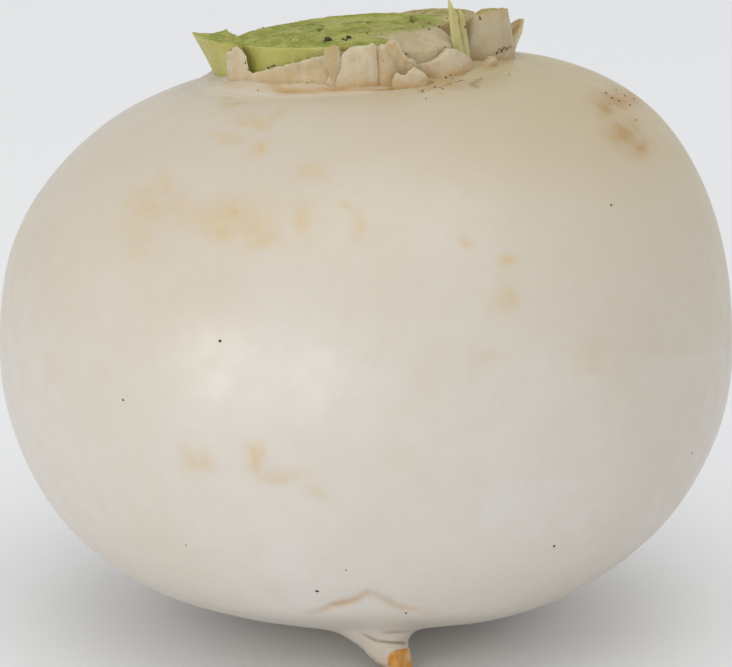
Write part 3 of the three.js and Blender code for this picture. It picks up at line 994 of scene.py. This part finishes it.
PALE_STALKS = {
    "stalk_right": base(-12, 18.0, 9.0, 4.0, over=0.8, bend=7, thin=0.6, dish=0.3, narrow=0.5, ribs=0.3,
        tip=0.6, lean=1.4, twist=-38, seed=3, tone=0.75, jag=0.06, brown=0.8),
    "stalk_far_right": base(5, 19.7, 6.6, 1.3, tall=4.6, bend=4.5, lean=3.5, curl=1.6, spacing=0.2,
        twist=32, tip=0.35, tone=1.0, dry=2.4, jag=0.9, edge=((-1, 2.6), (-0.6, 3.8), (-0.1, 4.8),
        (0.1, 4.6), (0.4, 3.9), (1, 2.6))),
    "stalk_round": base(-60, 14.4, 13.0, 8.0, bend=8.5, thin=0.35, dish=0.2, narrow=0.9, green=0.8,
        rounded=2.8, ribs=0.3, tone=0.1),
    "stalk_back_right": base(41, 15.2, 14.0, 6.4, bend=11, thin=0.4, dish=0.6, over=-0.2, green=1.0),
    "stalk_inner_right": base(2, 11.4, 15.0, 6.2, bend=10, thin=0.55, dish=0.4, green=1.0, tone=-0.6),
    "stalk_inner_front": base(-62, 7.4, 15.0, 6.4, bend=9, thin=0.55, dish=0.4, green=1.0),
}
GREEN_STALKS = {
    "stalk_left": base(-172, 17.4, 15.0, 4.6, over=1.1, bend=10, thin=0.4, lean=2.7, dish=0.4, ribs=0.3,
        tone=0.2, edge=((-1, 6.0), (-0.5, 6.6), (0, 7.1), (0.5, 6.3), (1, 5.4))),
    "stalk_front": base(-118.5, 14.6, 23.5, 8.0, bend=14.6, thin=0.64, dish=0.3, over=0.1, hollow=0.6,
        ribs=0.12, rounded=0.95),
    "stalk_back_left": base(144, 14.8, 22.0, 7.4, bend=13, thin=0.55, dish=0.6, over=-0.5, slant=0.5),
    "stalk_back": base(93, 15.0, 19.0, 7.4, bend=12, thin=0.55, dish=0.6, over=-0.2),
    "stalk_inner_left": base(176, 9.0, 21.0, 7.2, bend=9, thin=0.55, dish=0.4),
    "stalk_inner_back": base(74, 8.4, 19.0, 7.0, bend=9, thin=0.55, dish=0.4),
}
SKIN_FLAPS = {
    "torn_flap": base(-99.5, 20.1, 2.2, 0.45, tall=6.2, bend=3, lean=0.75, foot=0.1, spacing=0.12,
        tip=0.5, thin=0.5, jag=0.8, seed=9, green=0.5, crumple=0.3, edge=((-1, 6.0), (-0.2, 6.2),
        (0.5, 5.9), (1, 5.4))),
}
SCALE_SETTINGS = dict(spacing=0.17, thin=0.3, tip=0.22, ribs=0.2, crumple=0.6, brown=0.6)
crown = {}
for name, numbers in {**YOUNG_LEAVES, **SCALES, **SKIN_FLAPS, **PALE_STALKS, **GREEN_STALKS}.items():
    settings = SCALE_SETTINGS if name in SCALES else {}
    crown[name] = complete({**settings, **numbers})
print("leaf bases:", len(crown))

# %% [markdown]
# Leaf bases press against each other and never share room. Each new piece has its neighbours,
# grown by a hair, cut out of it with Boolean modifiers, in the order in which they lie: the slivers,
# the scales in front and a torn flap of skin first, the thick stalks behind them last. What stays is
# the dark line of shadow that parts two leaf bases on a real crown.

# %% Cutting neighbours apart
HAIR_GAP = 0.05
CUTTER_SPACING = 0.9


def discard(obj):
    mesh = obj.data
    bpy.data.objects.remove(obj)
    bpy.data.meshes.remove(mesh)


def near(first, second):
    """Whether the boxes of two objects meet."""
    one, two = first.bound_box, second.bound_box
    return all(one[0][i] < two[6][i] and two[0][i] < one[6][i] for i in range(3))


def largest_part(bm):
    """The bmesh without the slivers that a cut has parted from it."""
    left = set(bm.faces)
    parts = []
    while left:
        part = [left.pop()]
        for face in part:
            for edge in face.edges:
                for other in edge.link_faces:
                    if other in left:
                        left.remove(other)
                        part.append(other)
        parts.append(part)
    parts.sort(key=lambda part: sum(f.calc_area() for f in part))
    small = [face for part in parts[:-1] for face in part]
    bmesh.ops.delete(bm, geom=small, context="FACES")
    return bm


def cut_apart(bm, cutters):
    """The bmesh with every cutter that it meets taken away from it."""
    whole = object_from(bm, "whole")
    bpy.context.view_layer.update()
    for cutter in cutters:
        if near(whole, cutter):
            modifier = whole.modifiers.new("neighbour", "BOOLEAN")
            modifier.operation = "DIFFERENCE"
            modifier.solver = "MANIFOLD"
            modifier.object = cutter
    evaluated = whole.evaluated_get(bpy.context.evaluated_depsgraph_get())
    result = bmesh.new()
    result.from_mesh(evaluated.to_mesh())
    evaluated.to_mesh_clear()
    discard(whole)
    return largest_part(result)


cutters = []
cut_meshes = {}
for name, shape in crown.items():
    cut_meshes[name] = cut_apart(leaf_base(shape, shape["spacing"]), cutters)
    cutters.append(object_from(leaf_base(shape, CUTTER_SPACING, HAIR_GAP), "cutter"))
print("faces in the crown:", sum(len(bm.faces) for bm in cut_meshes.values()))

# %% [markdown]
# In the middle is the top of the short stem that every leaf grows from, cut by the same stroke. It
# is turned like the root: half an outline is spun round, then the round is pushed into soft lobes.

# %% The cut stem
STEM_PLACE = Vector((0.5, 0, 0))
STEM_RADIUS = 6.2
STEM_HEIGHT = 5.8
STEM_ROUND_STEPS = 96


def stem_top():
    corners = [(0, STEM_HEIGHT - 0.6), (0.55 * STEM_RADIUS, STEM_HEIGHT - 0.3),
               (0.9 * STEM_RADIUS, STEM_HEIGHT), (0.97 * STEM_RADIUS, STEM_HEIGHT - 0.25),
               (STEM_RADIUS, STEM_HEIGHT - 0.8), (STEM_RADIUS, -ROOTED), (0, -ROOTED)]
    bm = bmesh.new()
    verts = [bm.verts.new((x, 0, z)) for x, z in corners]
    edges = [bm.edges.new(pair) for pair in zip(verts, verts[1:])]
    bmesh.ops.subdivide_edges(bm, edges=edges, cuts=11)
    bmesh.ops.spin(bm, geom=bm.verts[:] + bm.edges[:], cent=(0, 0, 0), axis=(0, 0, 1),
                   angle=2 * math.pi, steps=STEM_ROUND_STEPS, use_merge=True)
    bmesh.ops.remove_doubles(bm, verts=bm.verts, dist=1e-4)
    for vert in bm.verts:
        turn = math.atan2(vert.co.y, vert.co.x)
        lobes = 1 + 0.1 * math.cos(3 * turn + 0.5) + 0.06 * math.cos(5 * turn)
        vert.co.x *= lobes
        vert.co.y *= lobes
        vert.co += STEM_PLACE
        if vert.co.z > STEM_HEIGHT - 0.7:
            vert.co.z += 0.15 * noise.noise(vert.co * 0.9)
    bmesh.ops.recalc_face_normals(bm, faces=bm.faces)
    return bm


crown["stem_top"] = complete(base(0, 0, 12, 12, tall=STEM_HEIGHT, bend=50, dish=0.4))
cut_meshes["stem_top"] = cut_apart(stem_top(), cutters)
for cutter in cutters:
    discard(cutter)
print("stem faces:", len(cut_meshes["stem_top"].faces))

# %% [markdown]
# A leaf base shows different flesh at its cut top, its torn rim, its foot and its outer skin. Where
# each of them lies is worked out once for every point of a piece and stored as attributes, which
# the materials read. That holds from every side, because it travels with the mesh.

# %% Where cut, rim and foot lie
TORN_FLESH_SHARE = 0.3         # a torn rim shows less flesh than a cut one


def paint_leaf_base(bm, shape):
    names = ("cut", "foot", "rim", "depth", "tone", "green")
    layers = {name: bm.verts.layers.float.new(name) for name in names}
    at = math.radians(shape["at"])
    bm.normal_update()
    for vert in bm.verts:
        height = vert.co.z
        lift = max(0.0, height) / shape["tall"]
        outward = vert.co.x * math.cos(at) + vert.co.y * math.sin(at)
        outward += shape["bend"] - shape["out"] - shape["lean"] * lift ** shape["curl"]
        side = vert.co.x * math.sin(at) - vert.co.y * math.cos(at) - shape["sweep"] * lift
        across = math.atan2(side, outward) * shape["bend"] / (shape["width"] / 2)
        top = edge_height(shape, max(-1.0, min(1.0, across)))
        high = smoothstep(height, top * 0.5, top * 0.8)
        depth = (math.hypot(outward, side) - shape["bend"]) / (shape["thick"] / 2)
        flat = smoothstep(vert.normal.z, 0.5, 0.8)
        if shape["rounded"] > 1:
            flat *= smoothstep(depth, 0.2, -0.4)
        if not shape["dish"]:
            flat *= TORN_FLESH_SHARE
        vert[layers["cut"]] = high * flat
        vert[layers["foot"]] = math.exp(-max(0.0, height - shape["brown"]) / 0.9)
        vert[layers["rim"]] = smoothstep(height, top - 0.8, top - 0.1)
        vert[layers["depth"]] = depth
        vert[layers["tone"]] = shape["tone"] - shape["dry"] * smoothstep(depth, 0.3, -0.5)
        inner = smoothstep(height, 0.6 * top, 0.95 * top) * smoothstep(depth, 0.4, -0.2)
        vert[layers["green"]] = shape["green"] * inner


for name, bm in cut_meshes.items():
    paint_leaf_base(bm, crown[name])
print("painted pieces:", len(cut_meshes))

# %% [markdown]
# The finishes share one recipe: skin with streaks along the leaf, a browner foot, a paler or drier
# rim, and a cut face with a darker skin line, mottled flesh and a row of small bundles. Each coat is
# one mix node over the last. Only the colours differ, so they are given as a table.

# %% Finishes of the crown
upright = (on_table @ crown_frame).to_3x3().normalized().inverted().to_euler()
LEAF_COLOURS = {
    "green_stalk": dict(body=rgb(200, 195, 118), dark=rgb(184, 178, 92), pale=rgb(204, 204, 142),
                        foot=rgb(196, 184, 122), rim=rgb(172, 172, 98), cut=rgb(174, 172, 88),
                        cut_dark=rgb(134, 142, 46), cut_pale=rgb(206, 202, 136), warm=rgb(168, 148, 60)),
    "pale_stalk": dict(body=rgb(200, 183, 145), dark=rgb(184, 162, 118), pale=rgb(214, 202, 172),
                       foot=rgb(192, 160, 112), rim=rgb(192, 168, 124), cut=rgb(186, 172, 118),
                       cut_dark=rgb(156, 142, 76), cut_pale=rgb(212, 204, 160), warm=rgb(164, 122, 58)),
    "cream_scale": dict(body=rgb(206, 187, 148), dark=rgb(194, 170, 126), pale=rgb(214, 200, 172),
                        foot=rgb(192, 154, 100), rim=rgb(214, 202, 174), cut=rgb(208, 192, 154),
                        cut_dark=rgb(192, 166, 118), cut_pale=rgb(220, 210, 184), warm=rgb(184, 142, 90)),
    "young_leaf": dict(body=rgb(196, 188, 124), dark=rgb(178, 168, 92), pale=rgb(216, 210, 158),
                       foot=rgb(168, 144, 58), rim=rgb(208, 200, 138), cut=rgb(198, 190, 124),
                       cut_dark=rgb(176, 164, 90), cut_pale=rgb(214, 210, 150), warm=rgb(168, 140, 50)),
}


LEAF_GLOSS = 0.3
BUNDLES = 900.0                # cells a metre, each the cut end of a bundle of fibres


def coat(leaf, tone, colours, coats):
    """Lays coats over a tone: what says where, from 0 at low to a share at high, and the colour."""
    for where, low, high, share, colour in coats:
        tone = leaf.mix(leaf.levels(where, low, high, 0, share), tone, colours[colour])
    return tone


def leaf_finish(name, roughness):
    colours = LEAF_COLOURS[name]
    greens = LEAF_COLOURS["green_stalk"]
    leaf = Finish(name, roughness, subsurface=0.28, reach=0.002)
    leaf.shader.inputs["Specular IOR Level"].default_value = LEAF_GLOSS
    standing = leaf.add("ShaderNodeMapping", {"Vector": leaf.place(), "Rotation": upright}).outputs["Vector"]
    along = leaf.place((1, 1, 0.14), standing)
    streaks = leaf.noise(700, 4, 0.6, along)
    broad = leaf.noise(220, 3, 0.5, along)
    patches = leaf.noise(330, 4, 0.6)
    grain = leaf.noise(2200, 3, 0.6)
    shade = leaf.attribute("tone")
    foot = leaf.attribute("foot", leaf.levels(patches, 0.3, 0.6, 0.35, 1.0))
    skin = coat(leaf, colours["dark"], colours, (
        (broad, 0.35, 0.65, 1, "body"), (streaks, 0.5, 0.72, 0.75, "pale"),
        (shade, 0, 1, 0.8, "pale"), (shade, 0, -1, 0.8, "warm"),
        (leaf.attribute("rim"), 0, 1, 0.6, "rim"), (foot, 0, 1, 1, "foot"),
        (patches, 0.5, 0.68, 0.55, "dark"), (patches, 0.42, 0.3, 0.5, "pale"),
        (streaks, 0.42, 0.3, 0.22, "foot")))
    depth = leaf.math("ABSOLUTE", leaf.attribute("depth"), 0.0)
    bundles = leaf.add("ShaderNodeTexVoronoi", {"Vector": standing, "Scale": BUNDLES}).outputs["Distance"]
    row = leaf.math("MULTIPLY", leaf.levels(bundles, 0.28, 0.16), leaf.levels(depth, 0.45, 0.2))
    flesh = coat(leaf, colours["cut_dark"], colours, (
        (patches, 0.4, 0.62, 1, "cut"), (grain, 0.5, 0.72, 0.5, "cut_pale"),
        (row, 0, 1, 0.7, "cut_pale"), (depth, 0.72, 0.98, 0.4, "cut_dark")))
    green_flesh = coat(leaf, greens["cut_dark"], greens, ((patches, 0.42, 0.6, 1, "cut"),))
    tone = leaf.mix(leaf.attribute("cut"), skin, flesh)
    tone = leaf.mix(leaf.attribute("green", leaf.levels(broad, 0.3, 0.5, 0.5, 1)), tone, green_flesh)
    crumpled = leaf.bump(patches, 0.0009, 0.45)
    ribs = leaf.bump(streaks, 0.00028, 0.6, crumpled)
    leaf.set(Base_Color=tone, Roughness=leaf.levels(leaf.attribute("cut"), 0, 1, roughness, 0.75),
             Normal=leaf.bump(grain, 0.00014, 0.5, ribs))
    return leaf.material


ROUGHNESS = {"green_stalk": 0.42, "pale_stalk": 0.5, "cream_scale": 0.55, "young_leaf": 0.4}
finishes = {name: leaf_finish(name, roughness) for name, roughness in ROUGHNESS.items()}
print("finishes:", list(finishes))

# %% [markdown]
# Now every leaf base goes from the crown's frame to the table, and stands in for its solid.

# %% Set the crown on the root
groups = {
    "young_leaf": YOUNG_LEAVES, "cream_scale": SCALES, "pale_stalk": [*PALE_STALKS, *SKIN_FLAPS],
    "green_stalk": [*GREEN_STALKS, "stem_top"],
}
slots = {name: slot for slot, names in groups.items() for name in names}
crown_on_table = Matrix.Translation(to_solid) @ on_table @ crown_frame
crown_pieces = {}
for name, bm in cut_meshes.items():
    bm.transform(crown_on_table)
    slot = slots[name]
    node = None if name in SKIN_FLAPS else name
    crown_pieces[name] = finish_piece(bm, name + "_fine", node, [finishes[slot]])
print("crown pieces:", len(crown_pieces), "faces:", sum(len(p.data.polygons) for p in crown_pieces.values()))

# %% [markdown]
# Soil clings to a washed turnip as black crumbs between the leaf bases, and as pinpoint specks in
# the skin. Where several lie close together, a trail scatters them between two pixels. A seeded draw
# places those, and the ones on the far side. Pale ones drawn out long are torn fibres on the cut.

# %% Where crumbs and fibres sit
# Each row: pixel across, pixel down, length and height in pixels, turn in degrees.
CRUMBS = (
    (327.5, 40.5, 8.5, 8, 0), (324, 43, 3, 2, 20), (348.5, 37.8, 6, 5, -20), (343, 39.5, 3, 3, 0),
    (318, 29.5, 2.2, 2.2, 0), (268.5, 67.6, 4, 1.7, -15), (273.5, 65.6, 3, 1.2, -15), (242, 33, 3.5, 1.5, 0),
    (236, 34, 3, 1.2, 0), (290, 40, 1.8, 1.6, 0), (368, 22, 2.2, 1.4, 0), (367, 33.5, 2.4, 1.8, 0),
    (381, 34, 1.4, 1.4, 0), (423, 27, 3, 1.4, -20), (429, 29.5, 2.4, 2, 0), (439, 27, 1.8, 2.4, 0),
    (447, 18.5, 1.8, 1.4, 0), (465, 27, 1.8, 3, 0), (406, 54, 1.8, 1.6, 0),
    (445, 47, 1.8, 1.4, 0), (245.5, 63, 1.6, 1.8, 0), (220, 341, 3, 2.6, 0),
    (123, 400, 2.4, 2, 0), (317, 591, 3.8, 2.6, -10), (554, 546, 2.4, 2.6, 0), (406, 613, 2.6, 2, 0),
    (611, 205, 2.2, 2, 0), (692, 453, 1.8, 1.4, 0), (346, 570, 1.8, 1.3, 20), (186, 545, 1.6, 1.3, 0),
)
RUSTY_CRUMBS = (
    (446, 77.5, 2.6, 2, 0), (450.5, 75, 2, 1.6, 0), (450, 84, 3, 1.4, -10), (435, 86.5, 3.4, 1.3, -10),
    (443, 89, 3.4, 1.2, -20), (422, 92, 4.6, 1.2, 5), (426, 98.7, 1.6, 1.6, 0), (509, 74.5, 2.2, 1.2, 0),
    (461, 80.5, 4, 1, 0), (452.5, 78.5, 1.6, 1.4, 0), (258, 90.5, 1.2, 2.2, 0), (606, 93, 3, 2, 30),
    (612, 98, 3.4, 2, 40), (619, 101, 3, 1.8, 30), (625, 96, 2.4, 1.6, 0), (630, 105, 3, 1.8, 45),
    (616, 90, 2.4, 1.4, 20), (634, 99, 2, 1.4, 0), (610, 104, 2.2, 1.4, 20), (636, 120, 2, 1.6, 0),
    (480, 18, 2.2, 4, 10),
)
FIBRES = (
    (303, 25, 7, 1.0, -60), (300, 27, 6, 0.9, 20), (306, 24, 6, 0.9, 40), (357, 39, 9, 0.9, -80),
    (296, 29, 5, 0.8, -30), (312, 33, 5, 0.8, 10), (340, 27, 6, 0.8, 10), (352, 31, 7, 0.8, -8),
    (334, 22, 6, 0.8, 5), (372, 28, 7, 0.8, -5), (388, 24, 6, 0.8, 10), (270, 36, 6, 0.8, 0),
    (283, 39, 5, 0.8, -15), (398, 31, 6, 0.8, -10),
)
# Trails of crumbs: start and end pixel, how many, how far they stray, largest size, tone.
TRAILS = (
    ((496, 52), (511, 47), 20, 1.8, 2.8, 0.3), ((418, 92), (462, 80.5), 20, 1.5, 2.0, 0.5),
    ((462, 80.5), (487, 78), 8, 0.8, 1.8, 0.5), ((266, 68.5), (276, 65), 8, 0.7, 1.8, 0.0),
    ((345, 40.5), (351, 37.5), 8, 0.6, 2.4, 0.0), ((381, 74), (385, 50), 7, 1.2, 1.4, 0.5),
    ((284, 81), (335, 86), 14, 2.5, 1.6, 0.5), ((398, 34), (447, 20), 12, 5.0, 1.6, 0.1),
)
HIDDEN_CRUMBS = 30
CRUMBS_SEED = 5
print("crumbs and fibres placed one by one:", len(CRUMBS) + len(RUSTY_CRUMBS) + len(FIBRES))

# %% [markdown]
# Each crumb is a small dented icosphere pressed into what carries it. A ray from the camera through
# a pixel of the photograph finds its place. One on the far side is found by a ray from outside.

# %% Press crumbs into the turnip
CRUMB_THICKNESS = 0.45         # of its smaller side
CRUMB_DENTS = 0.35
OUTSIDE = 0.2                  # metres from the middle, where no part of the turnip reaches
visible = [root_piece] + list(crown_pieces.values())
bpy.context.view_layer.update()


def first_hit(start, direction):
    """The nearest point that a ray meets on the turnip, with its normal."""
    best = None
    for piece in visible:
        hit, place, normal, _ = piece.ray_cast(start, direction)
        if hit and (best is None or (place - start).length < (best[0] - start).length):
            best = (place, normal)
    return best


def through_pixel(across, down):
    share = 1 / (PIXELS_PER_MM * CAMERA_DISTANCE / MM)
    aside = camera_right * (across - PHOTO_WIDTH / 2) - camera_up * (down - PHOTO_HEIGHT / 2)
    return first_hit(eye, (aside * share - to_camera).normalized())


def add_crumb(bm, tone_layer, place, normal, length, height, turn, tone):
    """One dented crumb, length and height in metres, pressed into the surface at a place."""
    turned = camera_right * math.cos(math.radians(turn)) + camera_up * math.sin(math.radians(turn))
    along = (turned - normal * turned.dot(normal)).normalized()
    stand = Matrix((along, normal.cross(along), normal)).transposed().to_4x4()
    thickness = CRUMB_THICKNESS * min(length, height)
    size = Matrix.Diagonal((length / 2, height / 2, thickness, 1))
    made = bmesh.ops.create_icosphere(bm, subdivisions=2, radius=1, matrix=Matrix.Identity(4))["verts"]
    for vert in made:
        vert.co *= 1 + CRUMB_DENTS * noise.noise(vert.co * 1.3 + place * 3000)
        vert.co = Matrix.Translation(place) @ stand @ size @ vert.co
        vert[tone_layer] = tone


crumbs_mesh = bmesh.new()
tone_layer = crumbs_mesh.verts.layers.float.new("tone")
for rows, tone in ((CRUMBS, 0.0), (RUSTY_CRUMBS, 0.5), (FIBRES, 1.0)):
    for across, down, length, height, turn in rows:
        found = through_pixel(across, down)
        if found:
            scale = MM / PIXELS_PER_MM
            add_crumb(crumbs_mesh, tone_layer, *found, length * scale, height * scale, turn, tone)
draw = random.Random(CRUMBS_SEED)
for start, end, count, stray, largest, tone in TRAILS:
    for step in range(count):
        pixel = Vector(start).lerp(Vector(end), (step + draw.random()) / count)
        pixel += Vector((draw.uniform(-0.5, 0.5), draw.uniform(-1, 1))) * stray
        length = largest * draw.uniform(0.3, 1) * MM / PIXELS_PER_MM
        found = through_pixel(*pixel)
        if found:
            add_crumb(crumbs_mesh, tone_layer, *found, length, length * draw.uniform(0.5, 0.9),
                      draw.uniform(-60, 60), tone)
for _ in range(HIDDEN_CRUMBS):
    turn = math.radians(draw.uniform(10, 170))
    rise = math.radians(draw.uniform(-35, 62))
    away = Vector((math.cos(turn) * math.cos(rise), math.sin(turn) * math.cos(rise), math.sin(rise)))
    place, normal = first_hit(aim + away * OUTSIDE, -away)
    length = draw.uniform(0.2, 0.5) * MM
    add_crumb(crumbs_mesh, tone_layer, place, normal, length, length * draw.uniform(0.6, 0.9), 0,
              draw.choice((0.0, 0.0, 0.5)))
print("faces of all crumbs and fibres:", len(crumbs_mesh.faces))

# %% [markdown]
# One finish serves them all: the tone that each carries picks black soil, rusty soil or pale fibre.

# %% Finish of the crumbs


def crumb_finish():
    crumb = Finish("soil_and_fibre", 0.8)
    grain = crumb.noise(3000, 3, 0.6)
    soil = crumb.mix(grain, rgb(34, 28, 18), rgb(84, 64, 38))
    rust = crumb.mix(grain, rgb(112, 70, 44), rgb(146, 100, 66))
    pale = crumb.mix(grain, rgb(186, 184, 134), rgb(220, 216, 180))
    tone = crumb.attribute("tone")
    earth = crumb.mix(crumb.levels(tone, 0, 0.5), soil, rust)
    crumb.set(Base_Color=crumb.mix(crumb.levels(tone, 0.5, 1), earth, pale),
              Normal=crumb.bump(grain, 0.00008, 0.6))
    return crumb.material


crumbs = finish_piece(crumbs_mesh, "soil_crumbs", None, [crumb_finish()])
print("finished", crumbs.name)
